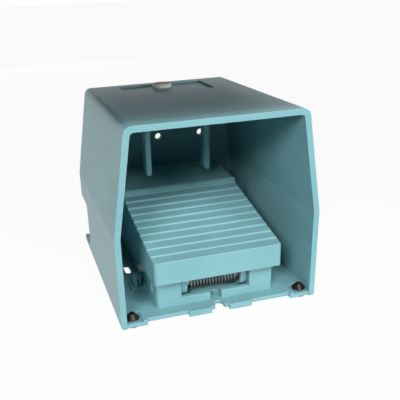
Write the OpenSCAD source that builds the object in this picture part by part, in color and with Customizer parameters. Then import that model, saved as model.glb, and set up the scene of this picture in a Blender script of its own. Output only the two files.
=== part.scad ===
// Guarded foot switch: a cast guard over a ribbed pedal on a sealed switch body.
// Millimetres. X is right, Y runs from the open front of the guard to its rear, Z is up.
// Lengths along Y below are measured from the front rim, and seat() moves all of it
// so that the middle of the footprint is at the origin and the feet stand on Z = 0.

/* [Guard] */
// Outer width at the crease
guard_w = 160; // [154:1:170]
// Outer width of the roof
guard_top_w = 138; // [132:1:144]
// Outer width at the floor
guard_foot_w = 158.6; // [156:0.2:159.8]
// Outer depth at the crease
guard_d = 176; // [173:1:188]
// Height from the underside of the pads to the roof
guard_h = 153; // [148:1:165]
// Height of the crease above the pads
crease_h = 72.5; // [68:0.5:78]
// How much further the crease reaches back than the roof
crease_back = 3.6; // [2:0.2:5]
// Wall thickness of the casting
guard_wall = 4.5; // [4:0.1:5]
// Outer radius of the roof edges and rear corners
guard_r = 6; // [5:0.5:8]
// Thickness of the floor plate
floor_t = 3; // [2.8:0.1:3.4]
// How far the pads drop below the floor plate
pad_drop = 1.5; // [1.2:0.1:1.8]
// Height of the notch at the lower rear, above the floor
notch_h = 45.5; // [43:0.5:47]
// Depth of that notch from the rear
notch_d = 36.5; // [36:0.5:37.5]
// Thickness of the stepped rear wall under the crease
step_wall = 4; // [3.4:0.1:4]
// Size of the shallow recess in the roof, across
roof_recess_w = 78; // [60:1:90]
// Size of the shallow recess in the roof, front to back
roof_recess_l = 44; // [30:1:50]
// Depth of the shallow recess in the roof
roof_recess_t = 1.4; // [1:0.1:2]
// Diameter of the plugged hole in the roof
plug_hole_d = 12; // [10:0.5:13]
// Distance from the roof's rear edge to the plugged hole
plug_back = 24; // [20:1:30]
// Diameter of the three holes in the rear wall
rear_hole_d = 6.2; // [5:0.1:8]
// Pitch of the three holes in the rear wall
rear_hole_pitch = 43; // [36:1:46]
// Height of those holes above the pads
rear_hole_h = 100; // [92:1:115]
// Distance between the two hanging fingers, centre to centre
finger_pitch = 54; // [40:1:60]
// Thickness of a finger
finger_t = 5.4; // [4.5:0.1:7]
// Depth of a finger
finger_d = 10; // [8:0.5:12]
// Length of a finger below the roof
finger_l = 66; // [50:1:67]
// Distance of the fingers from the front rim
finger_y = 109; // [100:1:114]
// Width of the open fixing slot in the front edge
front_slot_w = 7; // [6:0.2:8]
// Width of the two long fixing slots in the floor
side_slot_w = 5.5; // [5:0.1:6.5]
// Length of those slots
side_slot_l = 18; // [14:1:22]
// Distance of those slots from the front rim
side_slot_y = 88; // [84:1:100]

/* [Rubber feet and roof plug] */
// Diameter of a foot's disc
foot_d = 12; // [11:0.5:13]
// How far a foot stands below its pad
foot_proud = 1.5; // [1.2:0.1:2]
// Diameter of a foot's neck
foot_neck_d = 6; // [5:0.2:7]
// Height of the head
foot_head_h = 5.4; // [4.5:0.1:7]
// Diameter of the head
foot_head_d = 10.6; // [9:0.2:11]
// Diameter of the roof plug's cap
plug_cap_d = 17.6; // [15:0.2:19]
// Height of the roof plug's cap
plug_cap_h = 3.6; // [3:0.2:5]

/* [Switch body] */
// Width of the body
body_w = 97; // [96:0.2:97.2]
// Gap behind the body, up to the guard's stepped wall
body_rear_gap = 1.5; // [1.2:0.1:4]
// Distance of the body's front face from the front rim
body_y = 12.7; // [12.4:0.1:12.8]
// Height of the body
body_h = 36; // [34:0.5:37]
// Height of the low front part that carries the hinge
front_h = 24; // [23.6:0.1:24.2]
// Wall thickness of the body
body_wall = 4; // [3.5:0.1:4.4]
// Thickness of the body's floor
body_floor = 3.5; // [3:0.1:3.8]
// Width of the open throat in the front
throat_w = 56.8; // [56.2:0.1:57.4]
// Depth of the throat from the body's front
throat_d = 27.3; // [27:0.1:27.8]
// Height of the lip across the throat
lip_h = 6.7; // [5.5:0.1:7]
// Thickness of that lip
lip_t = 3.8; // [3:0.1:4.2]
// Width of the notch in the lip
lip_notch_w = 9.4; // [8.6:0.2:10]
// Thickness of the cover over the contacts
cover_t = 3; // [2.6:0.1:3.4]
// Thickness of the cover gasket
gasket_t = 1; // [0.8:0.1:1.2]

/* [Hinge] */
// Diameter of the hinge shaft
shaft_d = 8; // [7.4:0.1:8.2]
// Distance of the shaft from the front rim
hinge_y = 25; // [24.8:0.1:25.4]
// Gap under the round end of a pedal lug
lug_floor_gap = 0.5; // [0.3:0.1:0.8]
// Outer diameter of the bushes
bush_d = 11; // [10.6:0.1:11.6]
// Thickness of a pedal lug
lug_t = 5; // [4.6:0.1:5.2]
// Diameter of the round end of a lug
lug_d = 18; // [16.6:0.2:18]
// Angle that the pedal turns through when it is pressed
press_angle = 6; // [4:0.25:6]
// Wire diameter of the torsion spring
wire_d = 1.8; // [1.6:0.1:1.9]
// Whole curls of the torsion spring
curls = 15; // [10:1:15]
// Pitch of its curls
curl_pitch = 2.6; // [2.5:0.05:2.65]

/* [Pedal] */
// Width of the pedal at its front
pedal_w = 103; // [102.8:0.1:104]
// Width of the pedal at its rear
pedal_rear_w = 107; // [105:0.5:110]
// Wall of the pedal's skirt
skirt_t = 2.6; // [2.4:0.05:2.65]
// Distance of the pedal's front face from the front rim
pedal_y = 3.8; // [3.2:0.1:4.2]
// Height of the pedal's front top edge above the body
pedal_up = 7.4; // [7.2:0.1:9]
// Gap between the front edge of the skirt and the front part of the body
skirt_gap = 1; // [0.8:0.1:2]
// How far the skirt's edge falls towards the rear
skirt_fall = 7; // [4:0.5:8]
// Number of treads
treads = 10; // [8:1:12]
// Rise from one tread to the next
tread_rise = 2.06; // [2:0.02:2.2]
// Rise of a tread itself, the rest being the step behind it
tread_back_rise = 0.9; // [0.3:0.1:1.2]
// How far the middle treads lie below a straight line
tread_sag = 0.8; // [0:0.1:1]
// Height of the slope up to the smooth rear part
riser_h = 3.2; // [2.4:0.2:4]
// Rise of the smooth rear part to its end
rear_rise = 2.8; // [2.4:0.1:3.4]
// Length of the pedal behind its treads
smooth_l = 57.4; // [54:0.2:60]
// Gap between the pedal's rear end and the guard's rear wall
pedal_rear_gap = 13.5; // [12.5:0.5:20]
// Gap between the pedal's rear skirt and the guard's stepped wall
skirt_rear_gap = 6; // [5.6:0.1:8]
// Radius along the sides of the treads
side_r = 2; // [1:0.25:2.25]
// Thickness of the pedal's plate
plate_t = 3.3; // [3:0.1:3.4]

/* [Plunger and contacts] */
// Outer diameter of the plunger
plunger_d = 12; // [11:0.1:12.4]
// Bore of the plunger for its spring
plunger_bore_d = 8.6; // [8.4:0.1:8.8]
// Diameter of the plunger's head
head_d = 16; // [15:0.2:18]
// Gap left under the plunger's head when it is pressed
head_gap = 0.8; // [0.5:0.1:1]
// Width of the contact housing
housing_w = 44; // [42:0.5:46]
// Height of the contact housing
housing_h = 27; // [26.5:0.1:27.5]
// Wall of the contact housing
housing_wall = 3; // [2.6:0.1:3.2]

/* [Cable gland] */
// Thread diameter of the gland
gland_d = 20; // [18:0.5:20.5]
// Height of the gland's centre above the feet
gland_z = 26; // [25.5:0.1:26.5]
// Bore for the cable
gland_bore_d = 9; // [7:0.5:10]
// Width across the flats of the gland's hexagon
gland_af = 24; // [23:0.5:25]

/* [Hidden] */
$fn = 48;
loft_fn = 32;
// Overrun of every cut
cut = 1;
// Radial clearance of a running fit, of a screw in its hole, and between faces that don't touch
run_gap = 0.05;
screw_gap = 0.05;
face_gap = 0.3;

// Colours of the finishes
teal = "#6f9fa4";
steel = "#b9bec2";
brass = "#c8a860";
rubber = "#1d1f20";
black = "#2b2d2f";
pale = "#b9c4bb";

// Levels and planes of the guard
pad_z = foot_proud;
floor_under = pad_z + pad_drop;
floor_z = floor_under + floor_t;
crease_z = pad_z + crease_h;
top_z = pad_z + guard_h;
roof_d = guard_d - crease_back;
foot_back = 1;
foot_d_end = guard_d - foot_back;
inner_foot = guard_foot_w / 2 - guard_wall;
inner_r = 3;
low_r = 2;
gland_way_share = 1.25;

// Notch and stepped wall at the lower rear
step_y = guard_d - notch_d;
notch_top = floor_z + notch_h;
notch_low = 2;
notch_end_low = 1.4;
notch_r = 5;
notch_foot_r = 14;

// Front edge of the floor and the pads under it
edge_back = 3;
pad_back = 1;
pad_w = 20.5;
pad_l = 17;
centre_pad_x = 7.5;
centre_pad_w = 18;
centre_pad_l = 19;
foot_in_x = 10;
foot_in_y = 8;
foot_x = guard_foot_w / 2 - foot_in_x;
foot_rear_y = foot_d_end - foot_in_y;

// Open slot in the front edge, long slots, posts beside the body
front_slot_end = 10.4;
front_slot_flare = 2.4;
front_slot_flare_l = 3.4;
side_slot_in = 4.4;
side_slot_x = body_w / 2 + side_slot_w / 2 + side_slot_in;
post_d = 8;
post_h = 12;
post_slot = 1.2;
post_out = 6.2;
post_back = 39.1;
post_x = body_w / 2 + post_out;
post_y = body_y + post_back;
post_hole_gap = 0.4;

// Roof recess and plugged hole
plug_y = roof_d - plug_back;
plug_rim = 0.9;
recess_y = plug_y + plug_cap_d / 2 + plug_rim - roof_recess_l;
recess_r = 3;
recess_z = top_z - roof_recess_t;
plug_barb = 1;
plug_barb_l = 5;

// Switch body
body_end = step_y - step_wall - body_rear_gap;
body_half = body_w / 2;
front_z = floor_z + front_h;
body_z = floor_z + body_h;
body_corner_r = 3;
throat_half = throat_w / 2;
throat_end = body_y + throat_d;
well_z = floor_z + body_floor;
shoulder_l = 6;
lip_notch_l = 9;
bay_y = throat_end + body_wall;
bay_end = body_end - body_wall;
bay_r = 4;
ear_w = 12;
ear_l = 12;
ear_t = 3;

// Screws: m4 and m5 with their heads
m5 = 5;
m5_head = 9.4;
m5_head_h = 2.1;
m4 = 4;
m4_head = 7.4;
m4_head_h = 2.3;
slot_w = 1;
slot_t = 1.1;

// Body screws, from below into bosses in the bay
boss_screw_side = 10.5;
boss_screw_in = 10;
boss_screw_x = body_half - boss_screw_side;
boss_screw_y = [bay_y + boss_screw_in, bay_end - boss_screw_in];
boss_screw_d = 11;
boss_screw_h = 14;
body_screw_l = 15;

// Cover screws round the bay
cover_screw_side = 1.5;
cover_screw_x = body_half - body_wall - cover_screw_side;
cover_boss_d = 8.4;
cover_screw_in = 4.4;
cover_screw_y = [bay_y + cover_screw_in, (bay_y + bay_end) / 2, bay_end - cover_screw_in];
cover_screw_l = 12;
cover_side = 2;
cover_r = 4;
cover_low = body_z + gasket_t;
cover_top = cover_low + cover_t;
cover_y = bay_y - body_wall + cover_side / 2;
cover_end = bay_end + body_wall - cover_side / 2;

// Guide of the plunger in the cover
guide_d = 22;
guide_up = 2;
guide_top = cover_top + guide_up;
guide_low_d = 20;
seal_d = 17;
seal_t = 1.6;

// Where the pedal pushes the plunger, and how far
ledge_l = 10;
housing_front_gap = 3;
housing_rear_gap = 1.6;
gland_in_l = 5.4;
housing_y = bay_y + housing_front_gap + ledge_l;
housing_end = bay_end - gland_in_l - housing_rear_gap - ledge_l;
housing_l = housing_end - housing_y;
plunger_y = (housing_y + housing_end) / 2;
tappet_front = 2;
tappet_y = plunger_y - tappet_front;
tappet_gap = 0.4;
hinge_z = well_z + lug_d / 2 + lug_floor_gap;
head_t = 2.6;
head_z = (guide_top + head_gap + head_t + (tappet_y - hinge_y) * sin(press_angle)
    + (tappet_gap - hinge_z) * (1 - cos(press_angle))) / cos(press_angle);
plunger_travel = head_z - guide_top - head_gap - head_t;

// Pedal
pedal_half = pedal_w / 2;
pedal_rear_half = pedal_rear_w / 2;
pedal_end_y = guard_d - guard_wall - pedal_rear_gap;
skirt_end_y = step_y - step_wall - skirt_rear_gap;
pedal_l = pedal_end_y - pedal_y;
pedal_front_z = body_z + pedal_up;
skirt_z = front_z + skirt_gap;
pedal_corner_r = 3;
pedal_rear_r = 7;
front_t = 2.8;
tread_edge = 0.4;
riser_run = 3.4;
smooth_y = pedal_end_y - smooth_l;
tread_pitch = (smooth_y - pedal_y) / treads;
smooth_z = pedal_front_z + treads * tread_rise;
valley = tread_rise - tread_back_rise;
under = valley + plate_t;
tail_rise = rear_rise / (smooth_l - riser_run);
tread_slope = tread_rise / tread_pitch;
skirt_slope = skirt_fall / (skirt_end_y - pedal_y);
rear_skirt_h = 13.5;
rear_skirt_t = 3;
tail_t = 3.8;
stop_x = 42;
stop_w = 4;
stop_in = 0.6;
stop_y0 = pedal_y + front_t - stop_in;
stop_l = 14;
stiff_w = 3;
stiff_h = 4;
tappet_d = 12;
tappet_t = 2.8;
tappet_boss_d = 15;
tappet_shank_d = 6;
tappet_shank_l = 2.2;

// Lines along the pedal's side: treads, smooth tail and the edge of the skirt
function tread_line(y) = pedal_front_z + (y - pedal_y) * tread_slope;
function tail_line(y) = smooth_z + riser_h + (y - smooth_y - riser_run) * tail_rise;
function skirt_line(y) = skirt_z - (y - pedal_y) * skirt_slope;
function tread_z(i) = pedal_front_z + i * tread_rise - 4 * tread_sag * i * (treads - i) / (treads * treads);
tread_points = [for (i = [0:treads - 1]) let (y = pedal_y + i * tread_pitch, z = tread_z(i))
    each [[y, z - tread_edge], [y + tread_edge, z], [y + tread_pitch - tread_edge / 2, z + tread_back_rise]]];

// The pedal's bosses, and the buffers that stop them at the end of the travel
buffer_d = 12;
buffer_x = 30;
buffer_stud_d = 5;
buffer_boss_in = 12.5;
buffer_boss_h = 4.5;
buffer_boss_y = skirt_end_y - buffer_boss_in;
buffer_boss_z = tail_line(buffer_boss_y) - plate_t - buffer_boss_h;
buffer_y = hinge_y + (buffer_boss_y - hinge_y) * cos(press_angle)
    + (buffer_boss_z - hinge_z) * sin(press_angle);
buffer_top = hinge_z + (buffer_boss_z - hinge_z) * cos(press_angle)
    - (buffer_boss_y - hinge_y + buffer_d / 2) * sin(press_angle) - face_gap;

// Hinge
shaft_end_in = 1;
shaft_l = body_w - 2 * shaft_end_in;
grub_x = (throat_half + body_half) / 2;
grub_socket = 2.6;
washer_t = 0.8;
side_gap = 0.1;
lug_out = throat_half - washer_t - 2 * side_gap;
lug_in = lug_out - lug_t;
lug_top_front = 11;
lug_top_rear = 12;
washer_d = 16;

// Torsion spring: the coil's radius to the wire's middle, its first and last angle
coil_gap_in = 0.5;
coil_r = shaft_d / 2 + wire_d / 2 + coil_gap_in;
coil_a0 = -60;
coil_a1 = -15;
turn_steps = 8;
full_turn = 360;
wire_sides = 6;
// The front leg ends on the floor of the throat, the rear leg under the pedal's plate
leg_gap = 1.9;
front_leg = (hinge_z + coil_r * sin(coil_a0) - well_z - face_gap - wire_d / 2) / cos(coil_a0);
rear_leg = (tread_line(hinge_y + lug_top_rear) - under - leg_gap - wire_d / 2
    - hinge_z - coil_r * sin(coil_a1)) / cos(coil_a1);

// Contact housing in the bay, its ledges and terminals
housing_z = well_z;
housing_top = housing_z + housing_h;
cavity_z = housing_z + housing_wall;
bridge_x = 10;
bridge_w = 5;
strip_t = 1;
bridge_end_gap = 1;
bridge_l = housing_l - 2 * housing_wall - 2 * bridge_end_gap;
bridge_up = 16.5;
bridge_z = cavity_z + bridge_up;
tip_l = 2.5;
nc_z = bridge_z + strip_t + face_gap;
no_z = bridge_z - plunger_travel - face_gap - strip_t;
ledge_z = no_z;
lead_out = 1.6;
lead_l = 8.6;
terminal_d = 3.5;
terminal_head_d = 7;
terminal_head_h = 2.2;
terminal_l = 8;
clamp_w = 8;
clamp_t = 1;
spigot_d = 5;
spigot_h = 6;

// Plunger and what it carries
plunger_top = head_z - head_t;
plunger_below = 4;
plunger_low = bridge_z - plunger_below;
flange_d = 15;
flange_t = 1.5;
flange_up = 5;
flange_z = bridge_z + flange_up;
crown_t = 5;
bore_top = plunger_top - crown_t;
carrier_w = 28;
carrier_l = 14;
guide_low = flange_z + flange_t + face_gap;
spring_wire_d = 1;
spring_side_gap = 0.5;
spring_r = plunger_bore_d / 2 - spring_wire_d / 2 - spring_side_gap;
spring_low = cavity_z + face_gap + spring_wire_d / 2;
spring_top = bore_top - face_gap - spring_wire_d / 2;
spring_turns = 12;

// Earth terminal
earth_x = 30;
earth_in = 18;
earth_up = 5.5;
earth_y = bay_end - earth_in;
earth_boss_d = 9;
earth_z = well_z + earth_up;
earth_washer_d = 9;

// Cable gland through the rear wall of the body
gland_washer_t = 1;
gland_r = gland_d / 2;
gland_hex_l = 12;
gland_neck_l = 5;
gland_neck_d = 17;
locknut_t = 4.4;
nut_hex_l = 8;
nut_dome_l = 6.4;
nut_wall = 1.2;
nut_mouth = 2;
seal_len = 6.4;

function unit(v) = v / norm(v);

// Moves what is measured from the front rim to the middle of the footprint
module seat() {
    translate([0, -guard_d / 2, 0]) children();
}

// A side profile of Y and Z points, drawn through the whole width w
module across(w) {
    rotate([90, 0, 90]) linear_extrude(height = w, center = true) children();
}

// A front profile of X and Z points, drawn back over l
module back_over(l) {
    translate([0, l, 0]) rotate([90, 0, 0]) linear_extrude(height = l) children();
}

module both_sides() {
    children();
    mirror([1, 0, 0]) children();
}

// A convex outline whose corners are true arcs of the radii given
module soft_outline(p, radii) {
    n = len(p);
    a = [for (i = [0:n - 1]) unit(p[(i + n - 1) % n] - p[i])];
    b = [for (i = [0:n - 1]) unit(p[(i + 1) % n] - p[i])];
    half = [for (i = [0:n - 1]) acos(a[i] * b[i]) / 2];
    polygon([for (i = [0:n - 1]) each radii[i] > 0
        ? [p[i] + a[i] * radii[i] / tan(half[i]), p[i] + b[i] * radii[i] / tan(half[i])]
        : [p[i]]]);
    for (i = [0:n - 1]) if (radii[i] > 0)
        translate(p[i] + unit(a[i] + b[i]) * radii[i] / sin(half[i])) circle(r = radii[i]);
}

// A plan rectangle from x0 to x1 and y0 to y1 with one radius
module soft_plan(x0, x1, y0, y1, r) {
    soft_outline([[x0, y0], [x1, y0], [x1, y1], [x0, y1]], [r, r, r, r]);
}

module long_slot(w, l) {
    square([w, l - w], center = true);
    for (end = [-1, 1]) translate([0, end * (l - w) / 2]) circle(d = w);
}

// A bar along X, Y or Z between two values of that axis
module bar_x(x0, x1, r) translate([x0, 0, 0]) rotate([0, 90, 0]) cylinder(r = r, h = x1 - x0);
module bar_y(y0, y1, r) translate([0, y0, 0]) rotate([-90, 0, 0]) cylinder(r = r, h = y1 - y0);
module bar_z(z0, z1, r) translate([0, 0, z0]) cylinder(r = r, h = z1 - z0);

// One edge of the tapering guard: a disc at the front and a ball at the rear
module guard_edge(x, z, r, front, back) {
    translate([x, front, z]) rotate([-90, 0, 0]) cylinder(r = r, h = guard_wall, $fn = loft_fn);
    translate([x, back - r, z]) sphere(r = r, $fn = loft_fn);
}

// The guard's form, widest at the crease, set in by a wall for its hollow
module guard_form(inset, low, r, r_low, front) {
    hull() for (side = [-1, 1]) {
        guard_edge(side * (guard_foot_w / 2 - inset - r_low), low + r_low, r_low, front,
            foot_d_end - inset);
        guard_edge(side * (guard_w / 2 - inset - r), crease_z, r, front, guard_d - inset);
        guard_edge(side * (guard_top_w / 2 - inset - r), top_z - inset - r, r, front,
            roof_d - inset);
    }
}

module notch_profile() {
    soft_outline([[step_y, notch_top], [step_y, floor_z + notch_low],
        [guard_d + cut, floor_z + notch_end_low], [guard_d + cut, notch_top]],
        [notch_r, notch_foot_r, 0, 0]);
}

module pad_plan() {
    both_sides() {
        for (y = [pad_back, foot_d_end - pad_l])
            translate([guard_foot_w / 2 - pad_w, y]) square([pad_w, pad_l]);
        translate([centre_pad_x, pad_back]) square([centre_pad_w, centre_pad_l]);
    }
}

module guard() color(teal) seat() difference() {
    union() {
        difference() {
            guard_form(0, pad_z, guard_r, low_r, 0);
            intersection() {
                guard_form(guard_wall, floor_z - low_r, inner_r, low_r, -cut);
                translate([-guard_w, -guard_d, floor_z]) cube([2 * guard_w, 3 * guard_d, guard_h]);
            }
        }
        // Stepped wall and shelf, before the notch is cut away behind them
        intersection() {
            guard_form(0, pad_z, guard_r, low_r, 0);
            across(guard_w) soft_outline([[step_y - step_wall, notch_top + step_wall],
                [step_y - step_wall, floor_under], [guard_d + cut, floor_under],
                [guard_d + cut, notch_top + step_wall]], [notch_r + step_wall, 0, 0, 0]);
        }
        fingers();
        // Split posts that locate the switch body
        both_sides() translate([post_x, post_y, 0]) difference() {
            bar_z(floor_under, floor_z + post_h, post_d / 2);
            translate([-post_slot / 2, -post_d, floor_z]) cube([post_slot, 2 * post_d, 2 * post_h]);
        }
    }
    across(guard_w + 2 * cut) notch_profile();
    // Relief under the floor and the floor's front edge, both clear of the pads
    difference() {
        union() {
            translate([-inner_foot, -cut, pad_z - cut])
                cube([2 * inner_foot, foot_d_end - guard_wall + cut, pad_drop + cut]);
            translate([-inner_foot, -cut, pad_z - cut])
                cube([2 * inner_foot, edge_back + cut, pad_drop + floor_t + 2 * cut]);
        }
        linear_extrude(height = top_z) pad_plan();
    }
    // Front face of the pads, and the pockets that the feet stand in
    translate([-inner_foot, -cut, pad_z - cut])
        cube([2 * inner_foot, pad_back + cut, pad_drop + floor_t + 2 * cut]);
    both_sides() for (y = [pad_back - pad_l, foot_d_end - pad_l + floor_t])
        translate([guard_foot_w / 2 - pad_w + floor_t, y, pad_z + floor_t])
            cube([pad_w - floor_t - guard_wall, y < 0 ? 2 * pad_l - floor_t : pad_l - floor_t - guard_wall / 2,
                pad_l]);
    // Holes for the feet and the screws of the switch body
    both_sides() {
        for (y = [foot_in_y, foot_rear_y])
            translate([foot_x, y, 0]) bar_z(0, pad_l, foot_neck_d / 2 + screw_gap);
        for (y = boss_screw_y) translate([boss_screw_x, y, 0]) {
            bar_z(0, floor_z + cut, m5 / 2 + screw_gap);
            translate([0, 0, floor_under])
                cylinder(r1 = m5_head / 2 + screw_gap, r2 = m5 / 2 + screw_gap, h = m5_head_h);
        }
        translate([side_slot_x, side_slot_y, 0]) linear_extrude(height = floor_z + cut)
            long_slot(side_slot_w, side_slot_l);
    }
    front_slot(floor_z + cut);
    // Roof recess, plugged hole, rear holes and the way for the gland
    translate([0, 0, recess_z]) linear_extrude(height = roof_recess_t + cut)
        soft_plan(-roof_recess_w / 2, roof_recess_w / 2, recess_y, recess_y + roof_recess_l, recess_r);
    translate([0, plug_y, 0]) bar_z(top_z - 2 * guard_wall, top_z + cut, plug_hole_d / 2);
    for (i = [-1:1]) translate([i * rear_hole_pitch, 0, pad_z + rear_hole_h])
        bar_y(roof_d - 2 * guard_wall, guard_d + cut, rear_hole_d / 2);
    translate([0, 0, gland_z])
        bar_y(step_y - step_wall - cut, guard_d + cut, gland_af / 2 * gland_way_share);
}

// Open slot in the middle of the front edge, flared at its mouth
module front_slot(top) {
    linear_extrude(height = top) {
        translate([0, front_slot_end - front_slot_w / 2]) circle(d = front_slot_w);
        translate([-front_slot_w / 2, -cut]) square([front_slot_w, front_slot_end - front_slot_w / 2 + cut]);
        polygon([[-front_slot_w / 2 - front_slot_flare, -cut], [-front_slot_w / 2, pad_back + front_slot_flare_l],
            [front_slot_w / 2, pad_back + front_slot_flare_l], [front_slot_w / 2 + front_slot_flare, -cut]]);
    }
}

// Two tongues cast under the roof, with round ends
module fingers() {
    both_sides() intersection() {
        translate([finger_pitch / 2, finger_y - finger_d / 2, 0]) back_over(finger_d) {
            translate([0, top_z - guard_wall - finger_l + finger_t / 2]) circle(d = finger_t);
            translate([-finger_t / 2, top_z - guard_wall - finger_l + finger_t / 2])
                square([finger_t, finger_l - finger_t / 2 + guard_wall / 4]);
        }
        linear_extrude(height = top_z) soft_plan(finger_pitch / 2 - finger_t / 2,
            finger_pitch / 2 + finger_t / 2, finger_y - finger_d / 2, finger_y + finger_d / 2,
            finger_t / 4);
    }
}

// Push-in foot: disc under the pad, neck in its hole, barbed head above
module rubber_feet() color(rubber) seat() both_sides() for (y = [foot_in_y, foot_rear_y])
    translate([foot_x, y, 0]) rotate_extrude() {
        top = pad_z + floor_t;
        polygon([[0, 0], [foot_d / 2 - foot_proud / 3, 0], [foot_d / 2, foot_proud / 3],
            [foot_d / 2, pad_z], [foot_neck_d / 2, pad_z], [foot_neck_d / 2, top],
            [foot_head_d / 3, top], [foot_head_d / 2, top + foot_head_h / 4],
            [foot_head_d / 2, top + foot_head_h / 3], [foot_head_d / 4, top + foot_head_h * 9 / 10],
            [foot_head_d / 5, top + foot_head_h], [foot_head_d / 8, top + foot_head_h],
            [foot_head_d / 10, top + foot_head_h * 3 / 4], [0, top + foot_head_h * 3 / 4]]);
    }

// Snap-in plug of the roof hole
module roof_plug() color(pale) seat() translate([0, plug_y, 0]) rotate_extrude() {
    r = plug_hole_d / 2 - screw_gap;
    low = top_z - guard_wall;
    polygon([[0, low - plug_barb_l], [r - plug_barb, low - plug_barb_l], [r + plug_barb / 2, low - face_gap],
        [r, low - face_gap], [r, recess_z], [plug_cap_d / 2, recess_z],
        [plug_cap_d / 2, recess_z + plug_cap_h / 2], [plug_cap_d / 2 - plug_cap_h / 6, recess_z + plug_cap_h * 4 / 5],
        [plug_cap_d / 2 - plug_cap_h / 2, recess_z + plug_cap_h], [0, recess_z + plug_cap_h]]);
}

module switch_body() color(teal) seat() difference() {
    union() {
        difference() {
            intersection() {
                across(body_w + 2 * cut) polygon([[body_y, floor_z], [body_y, front_z],
                    [throat_end - shoulder_l, front_z], [throat_end, body_z], [body_end, body_z],
                    [body_end, floor_z]]);
                linear_extrude(height = body_z + cut)
                    soft_plan(-body_half, body_half, body_y, body_end, body_corner_r);
            }
            // Bay for the contacts
            translate([0, 0, well_z]) linear_extrude(height = body_h)
                soft_plan(-body_half + body_wall, body_half - body_wall, bay_y, bay_end, bay_r);
        }
        both_sides() {
            intersection() {
                for (y = cover_screw_y) translate([cover_screw_x, y, 0])
                    bar_z(floor_z, body_z, cover_boss_d / 2);
                translate([0, bay_y - body_wall, 0])
                    cube([body_half, bay_end - bay_y + 2 * body_wall, body_z]);
            }
            for (y = boss_screw_y) translate([boss_screw_x, y, 0])
                bar_z(floor_z, well_z + boss_screw_h - body_floor, boss_screw_d / 2);
            // Ear that drops over the guard's post
            translate([body_half - cut, post_y - ear_l / 2, floor_z]) cube([ear_w + cut, ear_l, ear_t]);
        }
        translate([earth_x, earth_y, 0]) bar_z(floor_z, earth_z, earth_boss_d / 2);
    }
    // Throat, with a lip left across its front
    translate([-throat_half, body_y + lip_t, well_z]) cube([throat_w, throat_d - lip_t, body_h]);
    translate([-throat_half, body_y - cut, floor_z + lip_h]) cube([throat_w, throat_d + cut, body_h]);
    translate([0, 0, floor_z - cut]) linear_extrude(height = body_h) {
        translate([0, body_y + lip_notch_l - lip_notch_w / 2]) circle(d = lip_notch_w);
        translate([-lip_notch_w / 2, body_y - cut])
            square([lip_notch_w, lip_notch_l - lip_notch_w / 2 + cut]);
    }
    translate([0, hinge_y, hinge_z]) bar_x(-body_half - cut, body_half + cut, shaft_d / 2 + run_gap);
    both_sides() {
        translate([grub_x, hinge_y, 0]) bar_z(hinge_z, front_z + cut, m5 / 2 + screw_gap);
        for (y = boss_screw_y) translate([boss_screw_x, y, 0])
            bar_z(floor_z - cut, floor_under + body_screw_l + cut, m5 / 2 + screw_gap);
        for (y = cover_screw_y) translate([cover_screw_x, y, 0])
            bar_z(cover_top - cover_screw_l - cut, body_z + cut, m4 / 2 + screw_gap);
        translate([post_x, post_y, 0]) bar_z(floor_z - cut, floor_z + ear_t + cut, post_d / 2 + post_hole_gap);
    }
    for (y = [housing_y - ledge_l / 2, housing_end + ledge_l / 2]) translate([0, y, 0])
        bar_z(floor_z - cut, well_z + cut, m4 / 2 + screw_gap);
    translate([earth_x, earth_y, 0]) bar_z(well_z, earth_z + cut, m4 / 2 + screw_gap);
    translate([0, 0, gland_z]) bar_y(bay_end - cut, body_end + cut, gland_r + screw_gap);
}

// Countersunk screws from below the guard's floor into the body
module body_screws() color(steel) seat() both_sides() for (y = boss_screw_y)
    translate([boss_screw_x, y, floor_under]) difference() {
        union() {
            cylinder(r1 = m5_head / 2, r2 = m5 / 2, h = m5_head_h);
            cylinder(r = m5 / 2, h = body_screw_l);
        }
        translate([0, 0, -cut]) cylinder(r = m5 / 3, h = m5_head_h + cut / 2, $fn = 6);
    }

module hinge_shaft() color(steel) seat() translate([0, hinge_y, hinge_z])
    bar_x(-shaft_l / 2, shaft_l / 2, shaft_d / 2);

module shaft_grub_screws() color(steel) seat() both_sides() translate([grub_x, hinge_y, 0]) difference() {
    bar_z(hinge_z + shaft_d / 2, front_z - shaft_end_in, m5 / 2);
    translate([0, 0, front_z - shaft_end_in - m5 / 2]) cylinder(d = grub_socket, h = m5, $fn = 6);
}

module thrust_washers() color(pale) seat() both_sides() translate([0, hinge_y, hinge_z]) difference() {
    bar_x(lug_out + side_gap, lug_out + side_gap + washer_t, washer_d / 2);
    bar_x(lug_in, throat_half + cut, shaft_d / 2 + run_gap);
}

// A tube through rings of points, closed at both ends
module tube_of(rings) {
    n = len(rings);
    m = len(rings[0]);
    polyhedron(points = [for (r = rings) each r], faces = concat(
        [[for (j = [m - 1:-1:0]) j]], [[for (j = [0:m - 1]) (n - 1) * m + j]],
        [for (i = [0:n - 2], j = [0:m - 1]) each [
            [i * m + j, i * m + (j + 1) % m, (i + 1) * m + (j + 1) % m],
            [i * m + j, (i + 1) * m + (j + 1) % m, (i + 1) * m + j]]]), convexity = 10);
}

// Torsion spring about the shaft: two straight legs and the curls between them
function coil_angle(i) = coil_a0 + (coil_a1 - coil_a0 + full_turn * curls) * i / coil_n;
coil_n = curls * turn_steps + 2;
coil_len = curl_pitch * (curls + (coil_a1 - coil_a0) / full_turn);
function coil_x(i) = coil_len * (i / coil_n - 0.5);
function radial(a) = [0, cos(a), sin(a)];
function along(a) = [0, -sin(a), cos(a)];
coil_path = concat(
    [[coil_x(0), coil_a0, -front_leg], [coil_x(0), coil_a0, -front_leg + wire_d]],
    [for (i = [0:coil_n]) [coil_x(i), coil_angle(i), 0]],
    [[coil_x(coil_n), coil_a1, rear_leg - wire_d], [coil_x(coil_n), coil_a1, rear_leg]]);
function coil_mid(c) = [c[0], hinge_y, hinge_z] + radial(c[1]) * coil_r + along(c[1]) * c[2];
coil_mids = [for (c = coil_path) coil_mid(c)];
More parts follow.
